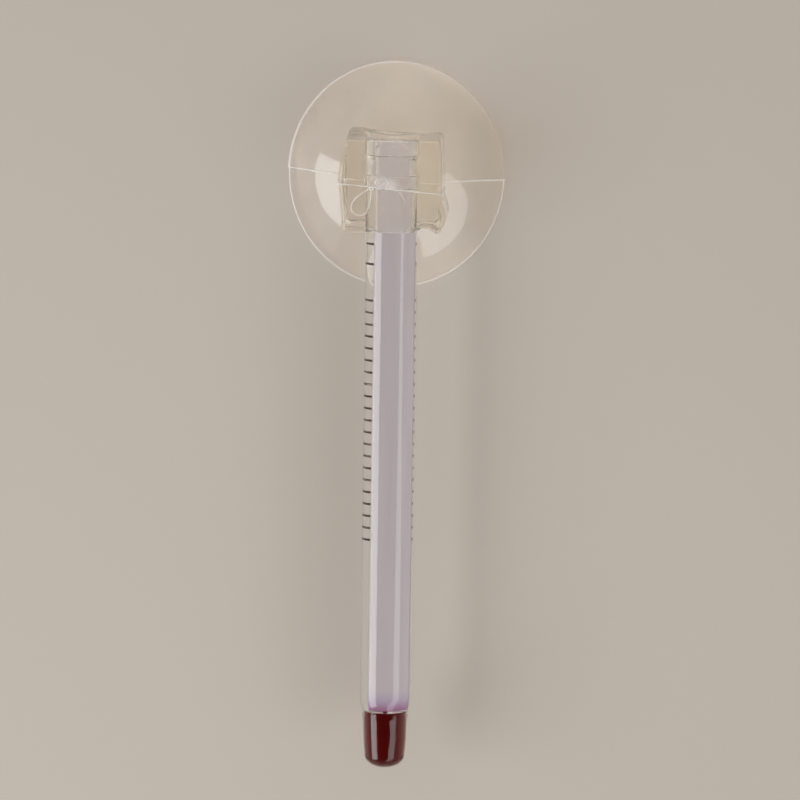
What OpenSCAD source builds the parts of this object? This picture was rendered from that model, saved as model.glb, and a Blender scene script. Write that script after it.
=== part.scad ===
// Aquarium glass thermometer: a solid glass stem with a white opal strip, a fine capillary and a
// red-filled bulb, pushed through the grip block of a clear suction cup.
//
// Millimetres. +Z runs up the stem towards its sealed end, +Y points out of the suction face into the
// tank wall, and the origin is the centre of the suction face.

/* [Suction cup] */
// Outer diameter of the cup
cup_d = 22; // [20:0.5:26]
// Thickness of the cup at its rim
rim_t = 0.55; // [0.4:0.05:0.8]
// Width of the flat sealing land at the rim
land_w = 0.7; // [0.5:0.1:1.2]
// Height of the skirt, from the suction face to the root of the neck
skirt_h = 3.2; // [2.8:0.1:4]
// Depth of the hollow under the skirt
hollow_h = 2.1; // [1.6:0.1:2.2]
// Diameter of the skirt at its root, under the neck
root_d = 7.6; // [6.5:0.1:8.5]
// Width of the neck between skirt and grip block
neck_w = 9; // [8.5:0.1:9.5]
// Height of the neck
neck_h = 8; // [7:0.1:8]
// Length of the neck
neck_l = 0.4; // [0.3:0.1:1.5]

/* [Grip block] */
// Width of the block across the stem
block_w = 10.1; // [9:0.1:12]
// Depth of the block, along the cup's axis
block_t = 6.8; // [6.6:0.1:8]
// Height of the block above the mould's parting plane
block_up = 5.0; // [4:0.1:7]
// Height of the block below the mould's parting plane
block_down = 4.6; // [4:0.1:7]
// Radius of the block's long edges
block_edge_r = 0.8; // [0.4:0.1:1.5]
// Radial clearance of the stem in the block's bore
bore_gap = 0.04; // [0.03:0.01:0.1]

/* [Glass stem] */
// Diameter of the stem
stem_d = 5.1; // [4.9:0.1:5.4]
// Height of the stem's sealed end above the centre of the cup
stem_top = 4; // [2:0.05:20]
// Length of the plain stem, from its sealed end to the bulb
stem_l = 57.15; // [50:0.05:70]
// Turn of the stem in the grip, with 0 facing the scale straight at the tank wall
stem_turn = 19; // [-180:1:180]
// Width of the white strip inside the stem
strip_w = 3.8; // [3:0.1:4]
// Thickness of the white strip
strip_t = 0.36; // [0.25:0.01:0.5]
// Distance from the stem's axis back to the near face of the strip
strip_back = 0.8; // [0.6:0.05:1]

/* [Bulb] */
// Length of the bulb below the stem
bulb_l = 5.8; // [5:0.1:9]
// Widest diameter of the bulb
bulb_d = 4.56; // [4.3:0.02:4.9]
// Diameter of the bulb where its rounded end begins
bulb_end_d = 3.96; // [3.6:0.02:4.2]
// Wall of the bulb at its top
bulb_wall = 0.72; // [0.6:0.05:1.1]
// Wall of the bulb where its rounded end begins
end_wall = 0.48; // [0.4:0.02:0.9]
// Wall of the bulb at its tip
tip_wall = 0.35; // [0.3:0.05:1]

/* [Scale] */
// Highest temperature on the scale, in degrees Celsius
scale_top = 40; // [20:10:40]
// Degrees from one line to the next
line_step = 2; // [1:1:2]
// Distance between two lines 10 degrees apart
ten_degrees = 6.02; // [5:0.01:7]
// Height of the zero line above the bulb
zero_up = 17; // [12:0.1:20]
// Temperature shown at rest
shown = 24; // [0:1:30]
// Thickness of a printed line
line_t = 0.22; // [0.15:0.01:0.3]
// Height of a printed digit
digit_h = 1.5; // [1.2:0.1:1.8]
// Thickness of the fired ink
ink_t = 0.02; // [0.02:0.005:0.03]

/* [Liquid] */
// Share by which the liquid grows for each degree
expansion = 0.00108; // [0.0009:0.00001:0.0012]
// Radial clearance of each body of liquid in its glass
liquid_gap = 0.01; // [0.01:0.005:0.02]

/* [Hidden] */
$fn = 64;

arc_steps = 8;
skirt_steps = 14;
skirt_power = 1.6;
cup_r = cup_d / 2;
root_r = root_d / 2;
hollow_r = cup_r - land_w;
hollow_sphere_r = (hollow_r * hollow_r + hollow_h * hollow_h) / (2 * hollow_h);

block_base = skirt_h + neck_l;
stem_away = block_base + block_t / 2;
bore_r = stem_d / 2 + bore_gap;

stem_r = stem_d / 2;
stem_foot = stem_top - stem_l;
top_round = 0.8;
foot_taper = 0.25;
foot_taper_h = 1.0;
strip_inset = 0.25;

bulb_r = bulb_d / 2;
bulb_end_r = bulb_end_d / 2;
bulb_waist = stem_r - foot_taper - 0.1;
bulb_swell_h = 0.7;
bulb_round = 1.2;
bulb_bottom = stem_foot - bulb_l;
inner_round = 0.8;
inner_top_r = bulb_r - bulb_wall;
inner_end_r = bulb_end_r - end_wall;
inner_bottom = bulb_bottom + tip_wall;

// The capillary is as fine as it must be for the liquid's growth to move the meniscus along the scale.
liquid_l = stem_foot - inner_bottom - inner_round;
liquid_volume = PI * liquid_l * (pow(inner_top_r, 2) + inner_top_r * inner_end_r + pow(inner_end_r, 2)) / 3
              + 2 / 3 * PI * pow(inner_end_r, 2) * inner_round;
capillary_r = sqrt(liquid_volume * expansion * 10 / (PI * ten_degrees));
chamber_r = 0.42;
chamber_l = 1.8;
chamber_cover = 1.6;
chamber_foot = stem_l - chamber_cover - chamber_l;

zero_z = stem_foot + zero_up;
meniscus_z = zero_z + shown / 10 * ten_degrees;
line_start = 0.1;
line_end = 1.12;
long_line_end = 1.5;
digit_start = 0.4;
digit_w = digit_h / 2;
digit_gap = 0.2;
digit_stroke = 0.18;
unit_low = 3.65;
unit_high = 5.65;
degree_at = [0.45, 0.4];
degree_r = 0.17;
c_at = [1.2, 0];
c_r = 0.42;

over = 1;

// Points of a quarter arc about [cx, cz], from angle a to angle b in degrees, rx wide and rz high.
function arc(cx, cz, rx, rz, a, b) =
    [for (i = [0 : arc_steps]) let (t = a + (b - a) * i / arc_steps) [cx + rx * cos(t), cz + rz * sin(t)]];

// Height of the skirt's outer face at a distance r from the cup's axis.
function skirt_height(r) =
    rim_t + (skirt_h - rim_t) * pow((cup_r - r) / (cup_r - root_r), skirt_power);

// Carries a shape drawn with Z as height above the suction face into the row frame.
module on_cup() {
    rotate([90, 0, 0]) children();
}

// Carries a shape drawn about Z onto the stem's axis.
module on_stem_axis() {
    translate([0, -stem_away, 0]) rotate([0, 0, stem_turn]) children();
}

module suction_disc() {
    color("whitesmoke") on_cup() difference() {
        rotate_extrude($fn = 96) polygon(concat(
            [[0, 0], [cup_r, 0]],
            [for (i = [0 : skirt_steps]) let (r = cup_r - (cup_r - root_r) * i / skirt_steps)
                [r, skirt_height(r)]],
            [[0, skirt_h]]));
        translate([0, 0, hollow_h - hollow_sphere_r]) sphere(hollow_sphere_r, $fn = 128);
    }
}

// Outline of the grip block across the stem, with the stem's bore at the origin.
module block_outline() {
    x = block_w / 2 - block_edge_r;
    y = block_t / 2 - block_edge_r;
    difference() {
        union() {
            square([block_w, 2 * y], center = true);
            square([2 * x, block_t], center = true);
            for (sx = [-1, 1], sy = [-1, 1]) translate([sx * x, sy * y]) circle(block_edge_r);
        }
        circle(bore_r);
    }
}

module grip_block() {
    color("antiquewhite") {
        translate([0, -stem_away, -block_down]) linear_extrude(block_down + block_up) block_outline();
        on_cup() translate([0, 0, skirt_h + neck_l / 2]) cube([neck_w, neck_h, neck_l], center = true);
    }
}

// Section of the white strip across the stem, with the stem's axis at the origin.
module strip_outline() {
    reach = strip_w / 2 - strip_t / 2;
    translate([0, -strip_back - strip_t / 2]) {
        square([2 * reach, strip_t], center = true);
        for (s = [-1, 1]) translate([s * reach, 0]) circle(strip_t / 2, $fn = 32);
    }
}

// The capillary, with its mouth open to the bulb, and the pocket above it that takes an overheated column.
module capillary_and_chamber() {
    translate([0, 0, -over]) cylinder(r = capillary_r, h = chamber_foot + chamber_r + over, $fn = 24);
    translate([0, 0, chamber_foot + chamber_r]) {
        cylinder(r = chamber_r, h = chamber_l - 2 * chamber_r, $fn = 32);
        for (z = [0, chamber_l - 2 * chamber_r]) translate([0, 0, z]) sphere(chamber_r, $fn = 32);
    }
}

module glass_stem() {
    color("lightcyan", 0.4) on_stem_axis() translate([0, 0, stem_foot]) difference() {
        rotate_extrude() polygon(concat(
            [[0, 0]],
            arc(stem_r - foot_taper, foot_taper_h, foot_taper, foot_taper_h, -90, 0),
            arc(stem_r - top_round, stem_l - top_round, top_round, top_round, 0, 90),
            [[0, stem_l]]));
        capillary_and_chamber();
        translate([0, 0, strip_inset]) linear_extrude(stem_l - 2 * strip_inset) strip_outline();
    }
}

module white_strip() {
    color("ghostwhite") on_stem_axis() translate([0, 0, stem_foot + strip_inset])
        linear_extrude(stem_l - 2 * strip_inset) strip_outline();
}

// Half section of the bulb: a waist where it is fused to the stem, a swell, a long taper and a rounded end.
module bulb_half_section() {
    polygon(concat(
        [[0, bulb_bottom]],
        arc(0, bulb_bottom + bulb_round, bulb_end_r, bulb_round, -90, 0),
        arc(bulb_waist, stem_foot - bulb_swell_h, bulb_r - bulb_waist, bulb_swell_h, 0, 90),
        [[0, stem_foot]]));
}

// Half section of the liquid in the bulb, shrunk by g.
module liquid_half_section(g) {
    polygon(concat(
        [[0, inner_bottom + g]],
        arc(0, inner_bottom + inner_round, inner_end_r - g, inner_round - g, -90, 0),
        [[inner_top_r - g, stem_foot], [0, stem_foot]]));
}

module glass_bulb() {
    color("mistyrose", 0.5) on_stem_axis() difference() {
        rotate_extrude() bulb_half_section();
        rotate_extrude() liquid_half_section(0);
    }
}

module bulb_liquid() {
    color("firebrick") on_stem_axis() rotate_extrude() liquid_half_section(liquid_gap);
}

module liquid_column() {
    color("red") on_stem_axis() translate([0, 0, stem_foot])
        cylinder(r = capillary_r - liquid_gap, h = meniscus_z - stem_foot, $fn = 24);
}

// Wraps flat artwork, drawn as seen by a reader, into a film of ink on the scale side of the stem.
module printed(z) {
    on_stem_axis() translate([0, 0, z]) intersection() {
        rotate([90, 0, 180]) linear_extrude(stem_r + over) children();
        difference() {
            cylinder(r = stem_r + ink_t, h = 2 * digit_h, center = true, $fn = 96);
            cylinder(r = stem_r, h = 2 * (digit_h + over), center = true, $fn = 96);
        }
    }
}

// A horizontal line from u0 to u1.
module line(u0, u1) {
    translate([u0, -line_t / 2]) square([u1 - u0, line_t]);
}

module scale_lines() {
    color("black") for (t = [0 : line_step : scale_top])
        printed(zero_z + t / 10 * ten_degrees)
            line(t % 10 == 0 ? -long_line_end : -line_end, -line_start);
}

// A part of a ring from angle a to angle b, with a under b and no more than a half turn apart.
module ring_part(r, a, b) {
    far = 3 * r;
    intersection() {
        difference() {
            circle(r + digit_stroke / 2, $fn = 32);
            circle(r - digit_stroke / 2, $fn = 32);
        }
        polygon([[0, 0], far * [cos(a), sin(a)], far * [cos((a + b) / 2), sin((a + b) / 2)],
                 far * [cos(b), sin(b)]]);
    }
}

// A straight stroke from point p to point q.
module stroke(p, q) {
    d = q - p;
    translate(p) rotate(atan2(d[1], d[0]))
        translate([0, -digit_stroke / 2]) square([norm(d), digit_stroke]);
}

module digit_zero() {
    r = digit_w / 2 - digit_stroke / 2;
    for (s = [0, 1]) translate([0, s ? digit_h - digit_w / 2 : digit_w / 2])
        rotate(s * 180) ring_part(r, 180, 360);
    for (s = [-1, 1]) stroke([s * r, digit_w / 2], [s * r, digit_h - digit_w / 2]);
}

module digit_one() {
    stroke([0, 0], [0, digit_h]);
    stroke([-digit_w / 3, digit_h - digit_w / 2], [0, digit_h - digit_stroke / 2]);
}

module digit_two() {
    r = digit_w / 2 - digit_stroke / 2;
    foot = [-r, digit_stroke / 2];
    turn = -35;
    centre = [0, digit_h - digit_w / 2];
    translate(centre) ring_part(r, 0, 170);
    translate(centre) ring_part(r, turn, 0);
    stroke(foot, centre + r * [cos(turn), sin(turn)]);
    stroke(foot - [digit_stroke / 2, 0], [digit_w / 2, digit_stroke / 2]);
}

module digit_three() {
    r = digit_h / 4 - digit_stroke / 4;
    for (low = [0, 1]) translate([0, digit_stroke / 2 + r + (low ? 0 : 2 * r)]) {
        ring_part(r, -90, 90);
        ring_part(r, low ? 200 : 90, low ? 270 : 160);
    }
}

module digit_four() {
    cross = digit_h * 0.32;
    right = digit_w * 0.2;
    stroke([right, 0], [right, digit_h]);
    stroke([-digit_w / 2, cross], [digit_w / 2, cross]);
    stroke([-digit_w / 2 + digit_stroke / 2, cross], [right, digit_h - digit_stroke / 2]);
}

// One digit of a scale number, standing on the line v = 0 and centred on u = 0.
module digit(n) {
    if (n == 0) digit_zero();
    if (n == 1) digit_one();
    if (n == 2) digit_two();
    if (n == 3) digit_three();
    if (n == 4) digit_four();
}

module scale_numerals() {
    color("black") for (t = [0 : 10 : scale_top])
        printed(zero_z + t / 10 * ten_degrees) translate([digit_start + digit_w / 2, -digit_h / 2]) {
            digit(t == 0 ? 0 : t / 10);
            if (t > 0) translate([digit_w + digit_gap, 0]) digit(0);
        }
}

// A ringed degree sign and a C between two lines, above the scale.
module unit_mark() {
    top_z = zero_z + scale_top / 10 * ten_degrees;
    color("black") {
        for (z = [unit_low, unit_high]) printed(top_z + z) line(-long_line_end, long_line_end);
        printed(top_z + (unit_low + unit_high) / 2) {
            translate(c_at) for (a = [50, 180]) ring_part(c_r, a, a + 130);
            translate(degree_at) difference() {
                circle(degree_r + digit_stroke / 2, $fn = 24);
                circle(degree_r - digit_stroke / 2, $fn = 24);
            }
        }
    }
}

suction_disc();
grip_block();
glass_stem();
white_strip();
glass_bulb();
bulb_liquid();
liquid_column();
scale_lines();
scale_numerals();
unit_mark();
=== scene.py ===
"""Looks of an aquarium thermometer: a red-filled glass stem held in the block of a clear suction cup.

Everything is in metres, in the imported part's frame: +Z runs up the stem to its sealed end, +Y points out
of the suction face into the tank wall, and the origin is the centre of the suction face.
"""

import math

import bpy
import numpy as np
from mathutils import Matrix, Vector


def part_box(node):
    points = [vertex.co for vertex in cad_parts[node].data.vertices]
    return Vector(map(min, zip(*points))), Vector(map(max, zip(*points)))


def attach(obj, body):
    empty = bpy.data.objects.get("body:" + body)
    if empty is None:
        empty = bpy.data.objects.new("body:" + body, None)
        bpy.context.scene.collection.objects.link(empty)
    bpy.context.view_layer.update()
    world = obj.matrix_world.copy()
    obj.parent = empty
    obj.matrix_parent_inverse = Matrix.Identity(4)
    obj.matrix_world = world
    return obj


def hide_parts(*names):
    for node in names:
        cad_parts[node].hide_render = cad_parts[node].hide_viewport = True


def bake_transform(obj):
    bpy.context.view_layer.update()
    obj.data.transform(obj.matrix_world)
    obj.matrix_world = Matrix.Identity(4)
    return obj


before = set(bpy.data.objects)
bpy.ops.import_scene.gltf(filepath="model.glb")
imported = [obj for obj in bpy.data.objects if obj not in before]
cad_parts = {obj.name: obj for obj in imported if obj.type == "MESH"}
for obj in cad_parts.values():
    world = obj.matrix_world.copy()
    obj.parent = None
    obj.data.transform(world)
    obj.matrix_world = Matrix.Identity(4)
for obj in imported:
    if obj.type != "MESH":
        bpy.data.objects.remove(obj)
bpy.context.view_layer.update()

MM = 0.001
TAU = 2 * math.pi

# ---------------------------------------------------------------- sizes read from the frame

skirt_lo, skirt_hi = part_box("suction_disc")
block_lo, block_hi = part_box("grip_block")
stem_lo, stem_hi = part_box("glass_stem")
bulb_lo, bulb_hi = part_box("glass_bulb")
charge_lo, charge_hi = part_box("bulb_liquid")
column_lo, column_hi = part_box("liquid_column")

CUP_R = skirt_hi.x
SKIRT_H = -skirt_lo.y
BLOCK_FRONT = -block_lo.y
STEM_Y = (stem_lo.y + stem_hi.y) / 2
STEM_R = (stem_hi.y - stem_lo.y) / 2
STEM_FOOT = stem_lo.z
STEM_TOP = stem_hi.z
BULB_R = bulb_hi.x
BULB_TIP = bulb_lo.z
MENISCUS = column_hi.z
LIQUID_GAP = 0.01 * MM
CAVITY_R = charge_hi.x + LIQUID_GAP
CAPILLARY_R = (column_hi.x - column_lo.x) / 2 + LIQUID_GAP

# ---------------------------------------------------------------- sizes of the finer shapes

LAND_W = 0.7 * MM            # flat sealing ring at the cup's rim
RIM_T = 0.5 * MM             # thickness of the rim
HOLLOW_H = 2.1 * MM          # depth of the hollow under the skirt
SKIRT_POWER = 1.6            # how the skirt steepens towards the neck
ROOT_R = 3.55 * MM           # the skirt's curve would meet its full height at this radius
NECK_HALF = (4.5 * MM, 4.0 * MM)
NECK_CORNER = 0.6 * MM
NECK_L = 0.4 * MM            # bare neck between the skirt and the block
NECK_FILLET = 0.35 * MM
BLOCK_BACK = SKIRT_H + NECK_L
OUT_OF_ROUND = (0.98, 1.03)  # the soft skirt is a little narrower than it is tall
CORNER_R = 0.35 * MM         # corners of the block seen from the front
BACK_EDGE = 0.4 * MM         # rounding of the block's back edge
FRONT_EDGE = 0.45 * MM       # rounding of the block's front edge
MOULD_SHIFT = 0.11 * MM      # the upper mould half sat this far to the left of the lower one
FLASH_H = 0.08 * MM          # height of the flash along the parting line
FLASH_W = 0.05 * MM
FOLD_H = 0.06 * MM           # height of the folds in the block's front
FOLD_W = 0.045 * MM
FAINT_H = 0.035 * MM         # height of the fainter marks there
GLASS_SKIN = 0.005 * MM      # the glass stands this far over the ink's underside, so the ink is in the glass
GLASS_R = STEM_R + GLASS_SKIN
CONTACT = 0.008 * MM         # the soft bore presses this far into the glass, so no air shows between them
BORE_R = GLASS_R - CONTACT
POCKET_R = 2.68 * MM         # the bore where air is trapped between it and the stem
CHAMBER_R = 0.42 * MM        # expansion chamber over the capillary
CHAMBER_L = 1.8 * MM
CHAMBER_FOOT = STEM_TOP - 3.4 * MM

FRONT_RINGS = 150            # over the block's front, close enough for its folds
AROUND_CUP = 420             # points in each ring
AROUND_BORE = 144
AROUND_GLASS = 192
AROUND_HOLLOW = 96
AROUND_CHARGE = 128
AROUND_COLUMN = 32
SHARP_DEGREES = 40           # edges sharper than this are drawn sharp

# ---------------------------------------------------------------- light and camera

LAMP_DISTANCE = 0.6
ROOM_LIGHT = 0.38            # strength of the room's even light
DARK_ROOM = 0.06             # its strength behind the camera, for mirror images only
CAMERA_DISTANCE = 0.6
CAMERA_FIELD = 79.4 * MM     # width of the view at the stem
CAMERA_AZIMUTH = 3.5         # degrees to the right of square on
CAMERA_ELEVATION = 8.5
CAMERA_ROLL = 0.81
SENSOR = 36                  # width in millimetres, as Blender takes it
BOUNCES = 32                 # enough for light to leave three nested clear bodies


# ---------------------------------------------------------------- mesh helpers

def arc(cr, cz, rr, rz, start, end, count):
    """Points (radius, height) of an elliptic arc about (cr, cz), from one angle in degrees to another."""
    angles = np.radians(np.linspace(start, end, count))
    return [(cr + rr * math.cos(a), cz + rz * math.sin(a)) for a in angles]


def smooth_step(x, low, high):
    """0 below low, 1 above high, and a smooth rise between them."""
    t = np.clip((x - low) / (high - low), 0, 1)
    return t * t * (3 - 2 * t)


def skin(rings, start, end, hollow=False):
    """Vertices and faces of the closed skin over rings of points, shut by one point at each end.

    The faces look outwards, or into the space that they enclose if hollow is true.
    """
    rings = np.asarray(rings, float)
    count, around = rings.shape[:2]
    verts = np.vstack([rings.reshape(-1, 3), [start], [end]])
    row = np.arange(count - 1)[:, None] * around
    a = np.arange(around)[None, :]
    b = (a + 1) % around
    quads = np.stack([row + a, row + b, row + around + b, row + around + a], axis=-1).reshape(-1, 4)
    first, last = count * around, count * around + 1
    top_row = (count - 1) * around
    fans = [(first, int(n), int(m)) for n, m in zip(b[0], a[0])]
    fans += [(last, int(top_row + m), int(top_row + n)) for n, m in zip(b[0], a[0])]
    p = verts[quads]
    volume = np.einsum("ij,ij->i", p[:, 0] - start, np.cross(p[:, 1] - start, p[:, 2] - start)).sum()
    volume += np.einsum("ij,ij->i", p[:, 0] - start, np.cross(p[:, 2] - start, p[:, 3] - start)).sum()
    faces = quads.tolist() + fans
    if (volume < 0) != hollow:
        faces = [face[::-1] for face in faces]
    return verts, faces


def build(name, skins):
    """A new object whose mesh holds the given skins."""
    verts, faces = [], []
    for skin_verts, skin_faces in skins:
        shift = len(verts)
        verts += skin_verts.tolist()
        faces += [[i + shift for i in face] for face in skin_faces]
    mesh = bpy.data.meshes.new(name)
    mesh.from_pydata(verts, [], faces)
    mesh.shade_smooth()
    mesh.set_sharp_from_angle(angle=math.radians(SHARP_DEGREES))
    piece = bpy.data.objects.new(name, mesh)
    bpy.context.scene.collection.objects.link(piece)
    return piece


def turned(outline, around=AROUND_GLASS):
    """Rings of a shape turned about the stem's axis, from points (radius, height)."""
    angles = np.linspace(0, TAU, around, endpoint=False)
    rings = []
    for radius, z in outline:
        x, y = radius * np.cos(angles), STEM_Y + radius * np.sin(angles)
        rings.append(np.stack([x, y, np.full(around, z)], axis=-1))
    return rings


def cut(piece, cutter):
    """Takes the cutter out of the piece and removes the cutter."""
    modifier = piece.modifiers.new("cut", "BOOLEAN")
    modifier.object = cutter
    modifier.operation = "DIFFERENCE"
    modifier.solver = "EXACT"
    bpy.context.view_layer.update()
    shaped = piece.evaluated_get(bpy.context.evaluated_depsgraph_get())
    mesh = bpy.data.meshes.new_from_object(shaped)
    piece.modifiers.clear()
    piece.data = mesh
    mesh.shade_smooth()
    mesh.set_sharp_from_angle(angle=math.radians(SHARP_DEGREES))
    bpy.data.objects.remove(cutter)


# ---------------------------------------------------------------- the suction cup, one soft moulding

def cup_angles():
    """Angles round the cup's axis, crowded towards 0 and 180 degrees, where the parting line runs."""
    t = np.linspace(0, TAU, AROUND_CUP, endpoint=False)
    return t - 0.4 * np.sin(2 * t)


def rounded_rectangle(angles, half_x, half_z, corner):
    """Distance from its centre to a rounded rectangle's outline, at each angle."""
    c, s = np.abs(np.cos(angles)), np.abs(np.sin(angles))
    side = np.minimum(half_x / np.maximum(c, 1e-9), half_z / np.maximum(s, 1e-9))
    px, pz = half_x - corner, half_z - corner
    along = c * px + s * pz
    round_part = along + np.sqrt(np.maximum(corner ** 2 - (px ** 2 + pz ** 2 - along ** 2), 0))
    return np.where((side * c > px) & (side * s > pz), round_part, side)


def skirt_depth(r):
    """Height of the skirt's outer face over the suction plane, at a distance r from the cup's axis."""
    reach = CUP_R - ROOT_R
    return RIM_T + (SKIRT_H - RIM_T) * ((CUP_R - r) / reach) ** SKIRT_POWER


def cup_ring(angles, radius, depth, centre_z=0.0):
    """One ring of points round the cup's axis, at a depth in front of the suction plane."""
    return np.stack([radius * np.cos(angles), np.broadcast_to(-depth, angles.shape),
                     centre_z + radius * np.sin(angles)], axis=-1)


def skirt_rings(angles, neck):
    """Rings from the middle of the hollow, round the rim and over the skirt to the end of the neck."""
    hollow_r = CUP_R - LAND_W
    sphere_r = (hollow_r ** 2 + HOLLOW_H ** 2) / (2 * HOLLOW_H)
    rings = []
    for r in np.linspace(0.3 * MM, hollow_r - 0.03 * MM, 26):
        rings.append(cup_ring(angles, r, math.sqrt(sphere_r ** 2 - r ** 2) - (sphere_r - HOLLOW_H)))

    under, over = 0.12 * MM, 0.1 * MM
    rim = [(hollow_r + 0.02 * MM, 0.004 * MM), (hollow_r + 0.06 * MM, 0.0), (CUP_R - 0.3 * MM, 0.0)]
    rim += arc(CUP_R - under, under, under, under, -90, 0, 5)
    rim += arc(CUP_R - under, RIM_T - over, under, over, 0, 70, 5)
    for r, d in rim:
        rings.append(cup_ring(angles, r, d))

    skirt_r = CUP_R - 0.2 * MM
    for t in np.linspace(0, 1, 44):
        r = skirt_r + (neck + NECK_FILLET - skirt_r) * t
        rings.append(cup_ring(angles, r, skirt_depth(r) + 0.01 * MM))
    low = skirt_depth(neck + NECK_FILLET)
    for t in np.linspace(0.1, 1, 14):
        r = neck + NECK_FILLET * (1 - math.sin(t * math.pi / 2)) + 0.2 * MM * t ** 8
        rings.append(cup_ring(angles, r, low + (BLOCK_BACK - 0.01 * MM - low) * t))
    return rings


def block_rings(angles, neck):
    """Rings from the neck over the block's back and sides to its front, and the middle of the front."""
    half_x = (block_hi.x - block_lo.x) / 2
    half_z = (block_hi.z - block_lo.z) / 2
    mid_z = (block_hi.z + block_lo.z) / 2

    def outline(inset, depth):
        corner = max(CORNER_R - 0.5 * inset, 0.2 * MM)
        radius = rounded_rectangle(angles, half_x - inset, half_z - inset, corner)
        return cup_ring(angles, radius, depth, mid_z)

    root = cup_ring(angles, neck + 0.25 * MM, BLOCK_BACK)
    flat = outline(BACK_EDGE, BLOCK_BACK)
    rings = [root + (flat - root) * t for t in np.linspace(0, 1, 6)]
    for a in np.radians(np.linspace(10, 90, 8)):
        rings.append(outline(BACK_EDGE * (1 - math.sin(a)), BLOCK_BACK + BACK_EDGE * (1 - math.cos(a))))
    for d in np.linspace(BLOCK_BACK + BACK_EDGE, BLOCK_FRONT - FRONT_EDGE, 34)[1:]:
        rings.append(outline(0, d))
    for a in np.radians(np.linspace(8, 90, 12)):
        rings.append(outline(FRONT_EDGE * (1 - math.cos(a)), BLOCK_FRONT - FRONT_EDGE * (1 - math.sin(a))))
    edge = rings[-1]
    centre = np.array([0, -BLOCK_FRONT, mid_z])
    for t in np.linspace(1, 0.02, FRONT_RINGS)[1:]:
        rings.append(centre + (edge - centre) * t)
    return rings, centre


def parting_height(x, depth):
    """Height of the mould's parting line: it runs downhill to the right, and sags across the skirt."""
    on_skirt = (-0.33 - 40 * x + 3600 * x ** 2) * MM
    on_block = (-0.38 - 90 * x) * MM
    return on_skirt + (on_block - on_skirt) * smooth_step(depth, SKIRT_H - 0.6 * MM, BLOCK_BACK)


def soften_block(p):
    """Moves points of the block, by their share of it, from the plain shape to the soft moulding's."""
    x, depth, z = p[:, 0].copy(), -p[:, 1], p[:, 2].copy()
    share = smooth_step(depth, SKIRT_H + 0.2 * MM, BLOCK_BACK + 0.3 * MM)

    # Sides that draw in away from the parting line, and a top that sinks to the right and to the front.
    p[:, 0] += share * x * (0.04 - 0.07 * np.abs(z) / block_hi.z)
    upper = smooth_step(z, 2.6 * MM, block_hi.z)
    front = smooth_step(depth, BLOCK_BACK, BLOCK_FRONT)
    sag = 0.54 * MM * smooth_step(x, -4 * MM, 1.5 * MM) - 0.14 * MM * smooth_step(x, 2 * MM, 5 * MM)
    p[:, 2] -= share * upper * (sag * (1 - front) + 0.55 * MM * front)

    # A left side that leans in, and a right side with a waist over a belly.
    left = 1 - smooth_step(x, -4.9 * MM, -2.6 * MM)
    p[:, 0] += share * left * MM * (0.2 + 0.3 * smooth_step(z, 1.2 * MM, block_hi.z))
    right = smooth_step(x, 2.2 * MM, 4.9 * MM)
    belly = np.exp(-((z + 3.0 * MM) / (1.15 * MM)) ** 2)
    waist = np.exp(-((z + 1.05 * MM) / (1.0 * MM)) ** 2)
    p[:, 0] += share * right * (0.42 * MM * belly - 0.12 * MM * waist)

    # An underside trimmed by hand, with a notch near the right corner.
    low = 1 - smooth_step(z, block_lo.z, block_lo.z + 1.3 * MM)
    notch = np.exp(-((x - 3.5 * MM) / (0.8 * MM)) ** 4)
    p[:, 2] += share * low * 0.42 * MM * notch
    p[:, 2] -= share * low * 0.16 * MM

    # Faint waves in the front and the sides.
    wave = np.sin(x / (1.1 * MM) + 0.6) * np.sin(z / (1.4 * MM) + 1.1)
    wave += 0.6 * np.sin(z / (0.75 * MM) + x / (2.1 * MM) + 2.0) * np.sin(depth / (1.3 * MM))
    p[:, 1] -= share * 0.022 * MM * wave
    p[:, 0] += share * 0.03 * MM * np.sin(z / (1.2 * MM) + depth / (0.9 * MM))
    return p


def drop_fold():
    """Points (x, z) along a drop-shaped loop, pointed at its upper right end."""
    centre_x, centre_z, lean = -2.68 * MM, -1.68 * MM, math.radians(60)
    points = []
    for t in np.linspace(0, TAU, 49):
        along = 1.45 * MM * math.cos(t)
        across = 0.75 * MM * math.sin(t) * (1 - 0.5 * math.cos(t))
        points.append((centre_x + along * math.cos(lean) - across * math.sin(lean),
                       centre_z + along * math.sin(lean) + across * math.cos(lean)))
    return points


def fold(x, z, points):
    """1 on the line through the points, falling to 0 beside it over the width of a fold."""
    near = np.full(x.shape, 1.0)
    for (x0, z0), (x1, z1) in zip(points, points[1:]):
        dx, dz = x1 - x0, z1 - z0
        t = np.clip(((x - x0) * dx + (z - z0) * dz) / (dx ** 2 + dz ** 2), 0, 1)
        near = np.minimum(near, np.hypot(x - x0 - t * dx, z - z0 - t * dz))
    return np.exp(-(near / FOLD_W) ** 2)


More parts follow.
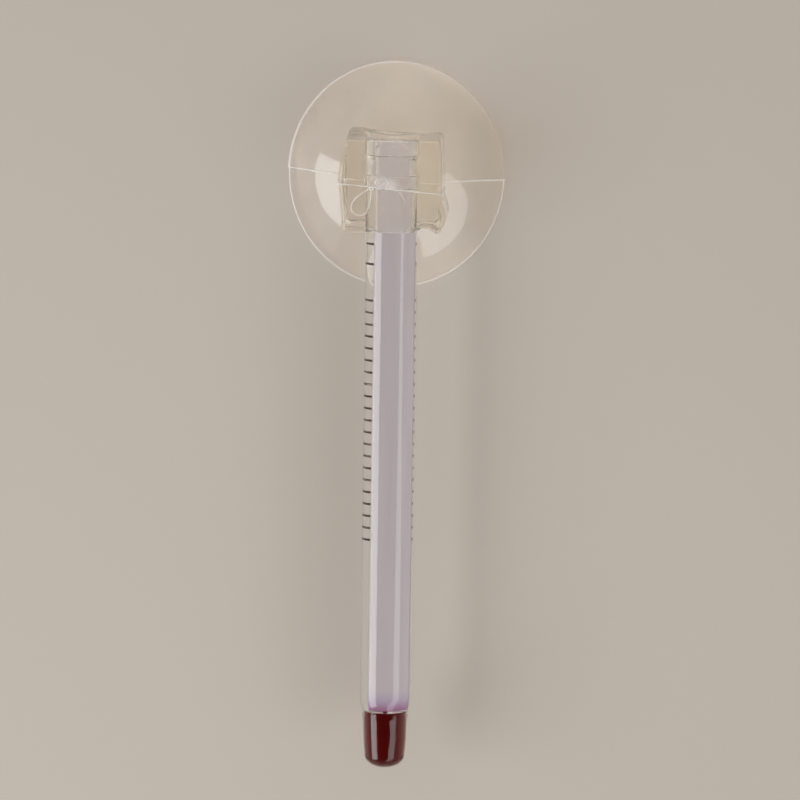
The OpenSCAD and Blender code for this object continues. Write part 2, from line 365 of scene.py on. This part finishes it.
def mark_heights(p):
    """How far flash and flow marks stand out of the surface at each point."""
    x, depth, z = p[:, 0], -p[:, 1], p[:, 2]
    outer = smooth_step(depth, 0.1 * MM, 0.3 * MM)
    line = parting_height(x, depth)
    uneven = 1 + 0.45 * np.sin(x / (0.33 * MM)) * np.sin(x / (1.7 * MM) + 1)
    height = outer * uneven * FLASH_H * np.exp(-((z - line) / FLASH_W) ** 2)
    front = smooth_step(depth, BLOCK_FRONT - 0.3 * MM, BLOCK_FRONT - 0.1 * MM)

    # Where the plastic entered the mould: a curl of overlapping ridges on the parting line.
    u, v = (x + 0.95 * MM) / (0.95 * MM), (z - 0.2 * MM) / (0.75 * MM)
    far, turn = np.hypot(u, v), np.arctan2(v, u)
    height += front * FAINT_H * np.sin(far * 17 + 2 * turn) * np.exp(-far ** 2.4)

    # Folds where the flow met again: a knot on the parting line, a drop below it and a fainter arc beside it.
    knot = np.hypot(x + 1.83 * MM, z + 0.39 * MM) - 0.17 * MM
    faint_arc = arc(-0.6 * MM, -1.9 * MM, 2.1 * MM, 1.75 * MM, -8, 52, 12)
    height += front * FOLD_H * np.exp(-(knot / (0.06 * MM)) ** 2)
    height += front * FOLD_H * fold(x, z, drop_fold())
    height += front * FAINT_H * fold(x, z, faint_arc)
    return height


def bore_cutter():
    """The bore's space. It grips the glass, and stands off it in two pockets and at both mouths."""
    top, foot = block_hi.z, block_lo.z
    mouth_r = BORE_R + 0.9 * MM
    bore = [(mouth_r, foot - 1 * MM)]
    bore += [(BORE_R + 0.2 * MM, foot - 0.1 * MM), (BORE_R, foot + 0.25 * MM)]
    for low, high in ((-0.6 * MM, 0.8 * MM), (2.7 * MM, top - 0.9 * MM)):
        bore += [(BORE_R, low), (POCKET_R, low + 0.12 * MM)]
        bore += [(POCKET_R, high - 0.05 * MM), (BORE_R + 0.05 * MM, high)]
    bore += [(BORE_R + 0.3 * MM, top - 0.6 * MM), (mouth_r, top + 0.8 * MM)]
    mouths = [(0, STEM_Y, z) for z in (bore[0][1], bore[-1][1])]
    return build("bore_cutter", [skin(turned(bore, AROUND_BORE), *mouths)])


def suction_cup():
    """The skirt and the grip block as they are moulded, in one piece, with the stem's bore through it.

    Its "frost" attribute says where the plastic is white: on flash, folds, the rim and the trimmed underside.
    """
    angles = cup_angles()
    neck = rounded_rectangle(angles, *NECK_HALF, NECK_CORNER)
    rings, front = block_rings(angles, neck)
    verts, faces = skin(skirt_rings(angles, neck) + rings, (0, -HOLLOW_H, 0), front)

    on_block = smooth_step(-verts[:, 1], BLOCK_BACK, BLOCK_BACK + 0.2 * MM)
    underside = 1 - smooth_step(verts[:, 2], block_lo.z + 0.02 * MM, block_lo.z + 0.16 * MM)
    trimmed = 0.55 * on_block * underside
    skirt = 1 - smooth_step(-verts[:, 1], SKIRT_H - 1.2 * MM, SKIRT_H)
    verts[:, 0] *= 1 + (OUT_OF_ROUND[0] - 1) * skirt
    verts[:, 2] *= 1 + (OUT_OF_ROUND[1] - 1) * skirt
    verts = soften_block(verts)
    above = smooth_step(verts[:, 2] - parting_height(verts[:, 0], -verts[:, 1]), -0.03 * MM, 0.03 * MM)
    verts[:, 0] -= MOULD_SHIFT * above * smooth_step(-verts[:, 1], -0.01 * MM, 0.05 * MM)

    piece = build("suction_cup", [(verts, faces)])
    normals = np.zeros(len(verts) * 3)
    piece.data.vertices.foreach_get("normal", normals)
    height = mark_heights(verts)
    edge = np.hypot(verts[:, 0] / OUT_OF_ROUND[0], verts[:, 2] / OUT_OF_ROUND[1])
    rim = 0.7 * smooth_step(edge, CUP_R - 0.14 * MM, CUP_R - 0.05 * MM)
    frost = piece.data.attributes.new("frost", "FLOAT", "POINT")
    frost.data.foreach_set("value", np.clip(np.abs(height) / FOLD_H + rim + trimmed, 0, 1))
    verts += normals.reshape(-1, 3) * height[:, None]
    piece.data.vertices.foreach_set("co", verts.ravel())
    piece.data.update()
    cut(piece, bore_cutter())
    return piece


# ---------------------------------------------------------------- glass and liquid

def glass_outline():
    """Radius and height along the outside of the glass, from the tip of the bulb to the sealed end."""
    end_r, end_h = 1.98 * MM, 1.2 * MM
    points = arc(0, BULB_TIP + end_h, end_r, end_h, -86, 0, 22)
    shoulder = STEM_FOOT - 0.45 * MM
    for t in np.linspace(0.08, 1, 14):
        z = BULB_TIP + end_h + (shoulder - BULB_TIP - end_h) * t
        swell = 0.12 * math.sin(math.pi * t) + 0.1 * math.sin(2.2 * math.pi * t) * t
        points.append((end_r + (BULB_R - end_r) * (t + swell), z))
    waist_r = STEM_R - 0.33 * MM
    shelf_r = waist_r + 0.08 * MM
    for t in np.linspace(0.1, 1, 8):
        points.append((BULB_R + (waist_r - BULB_R) * t ** 2.5, shoulder + (STEM_FOOT - shoulder) * t))
    points.append((waist_r + 0.01 * MM, STEM_FOOT + 0.03 * MM))
    for t in np.linspace(0, 1, 18):
        z = STEM_FOOT + 0.07 * MM + 1.5 * MM * t
        points.append((shelf_r + (GLASS_R - shelf_r) * math.sin(t * math.pi / 2), z))
    top_round = 0.8 * MM
    for z in np.linspace(points[-1][1], STEM_TOP - top_round, 40)[1:-1]:
        points.append((GLASS_R + 0.002 * MM * math.sin(z / (2.3 * MM)), z))
    points += arc(GLASS_R - top_round, STEM_TOP - top_round, top_round, top_round, 0, 84, 14)
    for t in (0.75, 0.5, 0.25):
        points.append(((STEM_R - top_round) * t, STEM_TOP + 0.05 * MM * (1 - t * t)))
    return points


def cavity_outline(grow):
    """Radius and height along the bulb's cavity up to the mouth of the capillary, grown by a small amount."""
    tip = charge_lo.z - LIQUID_GAP
    end_r, end_h, shoulder = CAVITY_R - 0.05 * MM, 0.9 * MM, 0.3 * MM
    points = arc(0, tip + end_h, end_r + grow, end_h + grow, -84, 0, 14)
    rounded = arc(CAVITY_R - shoulder, STEM_FOOT - shoulder, shoulder, shoulder, 0, 80, 10)
    points += [(r + grow, z) for r, z in rounded]
    points.append((0.55 * MM + grow, STEM_FOOT + 0.04 * MM))
    points.append((0.24 * MM + grow, STEM_FOOT + 0.14 * MM))
    points.append((CAPILLARY_R + grow, STEM_FOOT + 0.4 * MM))
    return points


def glass_body():
    """Stem and bulb as they are fused: one body round one hollow, whose faces take the second material."""
    outside = glass_outline()
    hollow = cavity_outline(0)
    hollow += [(CAPILLARY_R, z) for z in np.linspace(STEM_FOOT + 0.6 * MM, CHAMBER_FOOT - 0.2 * MM, 12)]
    hollow += arc(0, CHAMBER_FOOT + CHAMBER_R, CHAMBER_R, CHAMBER_R, -65, 0, 8)
    hollow += arc(0, CHAMBER_FOOT + CHAMBER_L - CHAMBER_R, CHAMBER_R, CHAMBER_R, 0, 80, 10)
    end = (0, STEM_Y, CHAMBER_FOOT + CHAMBER_L)
    shells = [skin(turned(outside), (0, STEM_Y, BULB_TIP), (0, STEM_Y, STEM_TOP + 0.05 * MM)),
              skin(turned(hollow, AROUND_HOLLOW), (0, STEM_Y, charge_lo.z - LIQUID_GAP), end, hollow=True)]
    piece = build("stem_and_bulb_glass", shells)
    for face in piece.data.polygons[len(shells[0][1]):]:
        face.material_index = 1
    return piece


def liquid_in_bulb():
    """The charge of spirit. It stands a hair into the glass, so that light passes straight between them."""
    outline = cavity_outline(LIQUID_GAP)
    foot = (0, STEM_Y, charge_lo.z - 2 * LIQUID_GAP)
    head = (0, STEM_Y, outline[-1][1] + 0.02 * MM)
    return build("spirit_in_bulb", [skin(turned(outline, AROUND_CHARGE), foot, head)])


def liquid_in_capillary():
    """The column of spirit, with a hollow meniscus."""
    r = CAPILLARY_R + 0.5 * LIQUID_GAP
    outline = [(r, z) for z in np.linspace(STEM_FOOT + 0.2 * MM, MENISCUS - 0.02 * MM, 30)]
    outline += [(r, MENISCUS), (0.6 * r, MENISCUS - 0.03 * MM)]
    foot, middle = (0, STEM_Y, outline[0][1]), (0, STEM_Y, MENISCUS - 0.05 * MM)
    return build("spirit_column", [skin(turned(outline, AROUND_COLUMN), foot, middle)])


# ---------------------------------------------------------------- materials

class Shader:
    """A short way to write a node tree."""

    def __init__(self, name):
        self.material = bpy.data.materials.new(name)
        self.material.use_nodes = True
        self.tree = self.material.node_tree
        self.tree.nodes.clear()
        self.out = self.tree.nodes.new("ShaderNodeOutputMaterial")

    def add(self, kind, settings=None, **inputs):
        """Adds a node. Inputs are values, or outputs of other nodes, named with _ for a space."""
        node = self.tree.nodes.new("ShaderNode" + kind)
        for key, value in (settings or {}).items():
            setattr(node, key, value)
        for key, value in inputs.items():
            self.put(node.inputs[key.replace("_", " ")], value)
        return node

    def put(self, socket, value):
        """Sets an input to a value, or links it to another node's output."""
        if isinstance(value, bpy.types.NodeSocket):
            self.tree.links.new(value, socket)
        else:
            socket.default_value = value

    def ramp(self, fac, stops):
        """A colour ramp with stops of (position, colour)."""
        node = self.add("ValToRGB", Fac=fac)
        elements = node.color_ramp.elements
        while len(elements) < len(stops):
            elements.new(0.5)
        for element, (position, colour) in zip(elements, stops):
            element.position = position
            element.color = (*colour, 1)
        return node.outputs["Color"]

    def noise(self, scale, detail=2, stretch=(1, 1, 1)):
        """Noise in the object's own metres, stretched along its axes."""
        place = self.add("TexCoord").outputs["Object"]
        mapped = self.add("Mapping", Vector=place, Scale=stretch).outputs["Vector"]
        return self.add("TexNoise", Vector=mapped, Scale=scale, Detail=detail).outputs["Fac"]

    def mix(self, share, first, second):
        """The first surface, with a share of the second."""
        node = self.add("MixShader", Fac=share)
        self.put(node.inputs[1], first)
        self.put(node.inputs[2], second)
        return node.outputs[0]

    def shadow_through(self, surface, tint):
        """Lets light through to what lies behind, tinted, in place of a caustic."""
        shadow = self.add("LightPath").outputs["Is Shadow Ray"]
        clear = self.add("BsdfTransparent", Color=(*tint, 1)).outputs[0]
        return self.mix(shadow, surface, clear)

    def finish(self, surface, volume=None):
        """The material, once its surface and volume are joined to its output."""
        self.tree.links.new(surface, self.out.inputs["Surface"])
        if volume is not None:
            self.tree.links.new(volume, self.out.inputs["Volume"])
        return self.material


def pvc_material():
    """Clear soft PVC: warm where it is thick, with a faint bloom and ripples from the mould."""
    s = Shader("clear_soft_pvc")
    cloud = s.noise(260, detail=3)
    ripple = s.noise(900, stretch=(1, 1, 2.2))
    grain = s.noise(5200)
    bump = s.add("Bump", Strength=0.22, Distance=0.02 * MM, Height=ripple)
    bump = s.add("Bump", Strength=0.06, Distance=0.006 * MM, Height=grain, Normal=bump.outputs[0])
    rough = s.add("MapRange", Value=cloud, From_Min=0.3, From_Max=0.7, To_Min=0.05, To_Max=0.11)
    body = s.add("BsdfPrincipled", Base_Color=(0.985, 0.975, 0.955, 1), Roughness=rough.outputs[0], IOR=1.53,
                 Transmission_Weight=1.0, Normal=bump.outputs[0])
    bloom = s.add("BsdfDiffuse", Color=(0.90, 0.87, 0.85, 1))
    haze = s.add("MapRange", Value=cloud, From_Min=0.3, From_Max=0.75, To_Min=0.05, To_Max=0.1)
    frost = s.add("Attribute", {"attribute_name": "frost"}).outputs["Fac"]
    frosted = 0.65
    white = s.add("Math", {"operation": "MULTIPLY_ADD"})
    for socket, value in zip(white.inputs, (frost, frosted, haze.outputs[0])):
        s.put(socket, value)
    surface = s.mix(white.outputs[0], body.outputs[0], bloom.outputs[0])
    tint = s.add("VolumeAbsorption", Color=(0.88, 0.78, 0.58, 1), Density=50.0)
    return s.finish(s.shadow_through(surface, (0.93, 0.91, 0.88)), tint.outputs[0])


def glass_material(name, shine):
    """Clear drawn glass with very faint draw lines. Where spirit wets it, it has no shine."""
    s = Shader(name)
    lines = s.noise(2600, stretch=(1, 1, 0.02))
    bump = s.add("Bump", Strength=0.05, Distance=0.002 * MM, Height=lines)
    body = s.add("BsdfPrincipled", Base_Color=(0.985, 0.99, 0.985, 1), Roughness=0.0, IOR=1.47,
                 Transmission_Weight=1.0, Specular_Tint=(shine, shine, shine, 1), Normal=bump.outputs[0])
    tint = s.add("VolumeAbsorption", Color=(0.80, 0.86, 0.82, 1), Density=25.0)
    return s.finish(s.shadow_through(body.outputs[0], (0.96, 0.97, 0.96)), tint.outputs[0])


def spirit_material(name, density):
    """Red dyed spirit, darker the deeper the light has to go. It has no shine of its own under the glass."""
    s = Shader(name)
    swirl = s.noise(700, detail=3)
    dye = s.ramp(swirl, [(0.3, (0.90, 0.02, 0.05)), (0.7, (0.92, 0.05, 0.08))])
    body = s.add("BsdfPrincipled", Base_Color=(1, 0.9, 0.9, 1), Roughness=0.0, IOR=1.36,
                 Transmission_Weight=1.0, Specular_Tint=(0, 0, 0, 1))
    tint = s.add("VolumeAbsorption", Color=dye, Density=density)
    return s.finish(s.shadow_through(body.outputs[0], (0.85, 0.05, 0.06)), tint.outputs[0])


def opal_material():
    """White opal glass: faintly lilac, streaked along the draw, with the bulb's red light painted on as
    violet near it.
    """
    s = Shader("white_opal_glass")
    streaks = s.noise(1500, detail=3, stretch=(1, 1, 0.03))
    base = s.ramp(streaks, [(0.3, (0.63, 0.565, 0.585)), (0.7, (0.69, 0.625, 0.645))])
    place = s.add("TexCoord").outputs["Object"]
    height = s.add("SeparateXYZ", Vector=place).outputs["Z"]
    # Painted light: towards the bulb the strip turns violet, then magenta, standing in for the red light that
    # the bulb throws on it.
    near = s.add("MapRange", Value=height, From_Min=STEM_FOOT + 2.2 * MM, From_Max=STEM_FOOT + 0.3 * MM)
    painted_bulb_light = s.ramp(near.outputs[0], [(0.0, (1, 1, 1)), (0.5, (0.84, 0.78, 0.96)), (1.0, (0.60, 0.22, 0.50))])
    colour = s.add("MixRGB", {"blend_type": "MULTIPLY"}, Fac=1.0, Color1=base, Color2=painted_bulb_light)
    body = s.add("BsdfPrincipled", Base_Color=colour.outputs[0], Roughness=0.4, IOR=1.5)
    glow = s.add("BsdfTranslucent", Color=(0.8, 0.74, 0.8, 1))
    return s.finish(s.mix(0.25, body.outputs[0], glow.outputs[0]))


def ink_material():
    """Dark brown fired ink, worn through in specks."""
    s = Shader("fired_ink")
    shade = s.ramp(s.noise(2500), [(0.35, (0.05, 0.026, 0.018)), (0.65, (0.12, 0.065, 0.045))])
    body = s.add("BsdfPrincipled", Base_Color=shade, Roughness=0.55)
    covered = s.ramp(s.noise(9000), [(0.34, (0, 0, 0)), (0.46, (1, 1, 1))])
    bare = s.add("BsdfTransparent")
    return s.finish(s.mix(covered, bare.outputs[0], body.outputs[0]))


def floor_material():
    """Plain pale surface, seen only from its front, so that views from behind still show the scale."""
    s = Shader("pale_floor")
    paper = s.ramp(s.noise(6), [(0.3, (0.52, 0.47, 0.42)), (0.7, (0.55, 0.50, 0.45))])
    body = s.add("BsdfPrincipled", Base_Color=paper, Roughness=0.8)
    back = s.add("NewGeometry").outputs["Backfacing"]
    unseen = s.add("BsdfTransparent")
    return s.finish(s.mix(back, body.outputs[0], unseen.outputs[0]))


def paint(piece, material, *others):
    """Gives the piece its materials: one in every slot that it has, or several, each in a slot of its own."""
    materials = (material, *others)
    if others or not piece.material_slots:
        for _ in materials:
            piece.data.materials.append(None)
    for index, slot in enumerate(piece.material_slots):
        slot.link = "OBJECT"
        slot.material = materials[index] if others else material


# ---------------------------------------------------------------- stage

def place_floor():
    """The pale surface that the suction face rests on."""
    half, gap = 1.5, 0.15 * MM
    verts = [(-half, gap, -half), (half, gap, -half), (half, gap, half), (-half, gap, half)]
    mesh = bpy.data.meshes.new("floor")
    mesh.from_pydata(verts, [], [(0, 1, 2, 3)])
    floor = bpy.data.objects.new("floor", mesh)
    bpy.context.scene.collection.objects.link(floor)
    paint(floor, floor_material())


def towards(azimuth, elevation):
    """Unit vector from the object: azimuth 0 is -Y and grows towards +X; elevation grows upwards. Degrees."""
    a, e = math.radians(azimuth), math.radians(elevation)
    return Vector((math.sin(a) * math.cos(e), -math.cos(a) * math.cos(e), math.sin(e)))


def facing(target, azimuth, elevation, distance, roll):
    """Where a lamp or camera stands to face the target from that side, rolled by some degrees."""
    direction = towards(azimuth, elevation)
    return (Matrix.Translation(target + direction * distance)
            @ direction.to_track_quat("Z", "Y").to_matrix().to_4x4()
            @ Matrix.Rotation(math.radians(roll), 4, "Z"))


def softbox(name, azimuth, elevation, width, height, power, roll=0.0):
    """A rectangular light that faces the middle of the stem. Clear pieces don't show it through them."""
    target = Vector((0, STEM_Y, (STEM_TOP + BULB_TIP) / 2))
    light = bpy.data.lights.new(name, "AREA")
    light.shape = "RECTANGLE"
    light.size, light.size_y = width, height
    light.energy = power
    lamp = bpy.data.objects.new(name, light)
    lamp.matrix_world = facing(target, azimuth, elevation, LAMP_DISTANCE, roll)
    lamp.visible_transmission = False
    bpy.context.scene.collection.objects.link(lamp)


def place_lights():
    """Two softboxes whose mirror images run down the glass, and weaker light from above and behind."""
    softbox("left_softbox", azimuth=-57, elevation=-15, width=0.34, height=0.44, power=2.4)
    softbox("right_softbox", azimuth=42, elevation=-27, width=0.24, height=0.62, power=1.2, roll=-42)
    softbox("top_softbox", azimuth=0, elevation=78, width=0.3, height=0.16, power=0.5)
    softbox("back_softbox", azimuth=205, elevation=25, width=0.4, height=0.4, power=2.0)


def place_room():
    """A pale room. Mirror images find it dark behind the camera, as a studio is."""
    world = bpy.data.worlds.new("pale_room")
    world.use_nodes = True
    tree = world.node_tree
    background = tree.nodes["Background"]
    background.inputs["Color"].default_value = (1.0, 0.95, 0.9, 1)
    split = tree.nodes.new("ShaderNodeSeparateXYZ")
    tree.links.new(tree.nodes.new("ShaderNodeTexCoord").outputs["Generated"], split.inputs[0])
    room = tree.nodes.new("ShaderNodeMapRange")
    turns_dark = (("From Min", -0.95), ("From Max", -0.3), ("To Min", DARK_ROOM), ("To Max", ROOM_LIGHT))
    for key, value in turns_dark:
        room.inputs[key].default_value = value
    tree.links.new(split.outputs["Y"], room.inputs["Value"])
    strength = tree.nodes.new("ShaderNodeMix")
    strength.inputs["A"].default_value = ROOM_LIGHT
    mirrored = tree.nodes.new("ShaderNodeMath")
    mirrored.operation = "MULTIPLY"
    path = tree.nodes.new("ShaderNodeLightPath")
    tree.links.new(path.outputs["Is Glossy Ray"], mirrored.inputs[0])
    tree.links.new(path.outputs["Is Reflection Ray"], mirrored.inputs[1])
    tree.links.new(mirrored.outputs[0], strength.inputs["Factor"])
    tree.links.new(room.outputs["Result"], strength.inputs["B"])
    tree.links.new(strength.outputs["Result"], background.inputs["Strength"])
    bpy.context.scene.world = world


def place_camera():
    """A long lens, a little above and to the right of square on, with the stem leaning slightly right."""
    target = Vector((1.06 * MM, STEM_Y, -21.8 * MM))
    camera = bpy.data.cameras.new("camera")
    camera.sensor_width = SENSOR
    camera.lens = SENSOR * CAMERA_DISTANCE / CAMERA_FIELD
    camera.clip_start = 0.01
    eye = bpy.data.objects.new("camera", camera)
    eye.matrix_world = facing(target, CAMERA_AZIMUTH, CAMERA_ELEVATION, CAMERA_DISTANCE, CAMERA_ROLL)
    bpy.context.scene.collection.objects.link(eye)
    bpy.context.scene.camera = eye


# ---------------------------------------------------------------- the whole object

pvc, opal, ink = pvc_material(), opal_material(), ink_material()
glass = glass_material("clear_drawn_glass", shine=1.0)
wetted_glass = glass_material("wetted_glass", shine=0.0)

cup = suction_cup()
paint(cup, pvc)
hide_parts("suction_disc", "grip_block")
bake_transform(cup)

body = glass_body()
paint(body, glass, wetted_glass)
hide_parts("glass_stem", "glass_bulb")
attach(body, "stem")

charge = liquid_in_bulb()
paint(charge, spirit_material("red_spirit", density=2500.0))
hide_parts("bulb_liquid")
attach(charge, "charge")

column = liquid_in_capillary()
paint(column, spirit_material("red_spirit_column", density=9000.0))
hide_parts("liquid_column")
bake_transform(column)

paint(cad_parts["white_strip"], opal)
for node in ("scale_lines", "scale_numerals", "unit_mark"):
    paint(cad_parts[node], ink)

place_floor()
place_lights()
place_room()
place_camera()

scene = bpy.context.scene
scene.cycles.max_bounces = BOUNCES
scene.cycles.transmission_bounces = BOUNCES
scene.cycles.transparent_max_bounces = BOUNCES
scene.view_settings.view_transform = "Standard"
